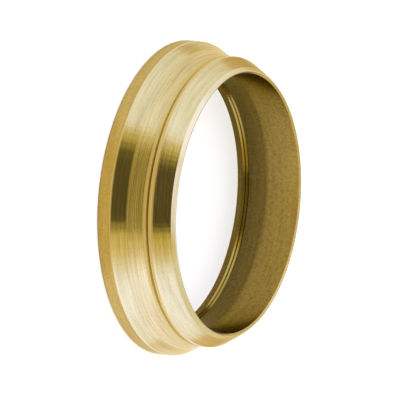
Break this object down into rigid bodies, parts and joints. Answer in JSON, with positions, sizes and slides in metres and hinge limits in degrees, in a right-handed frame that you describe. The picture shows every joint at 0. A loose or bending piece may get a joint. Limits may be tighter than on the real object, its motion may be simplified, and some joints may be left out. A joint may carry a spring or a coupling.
{
  "type": "compression olive",
  "caption": "Turned brass olive for a compression pipe joint: a plain bore, a wide rim with a sloped shoulder, and a tapered nose that seals on the fitting's seat.",
  "frame": {"origin": "centre of the flat back face, on the ring's axis", "axes": "+Z along the axis from the back face towards the nose; X and Y are free, because the ring is round"},
  "size_m": [0.0342, 0.0342, 0.0079],
  "materials": {
    "turned_brass": "fine turned, bright, with rings left by the cutting tool"
  },
  "bodies": {
    "root": {"olive_ring": "turned_brass"}
  },
  "joints": []
}
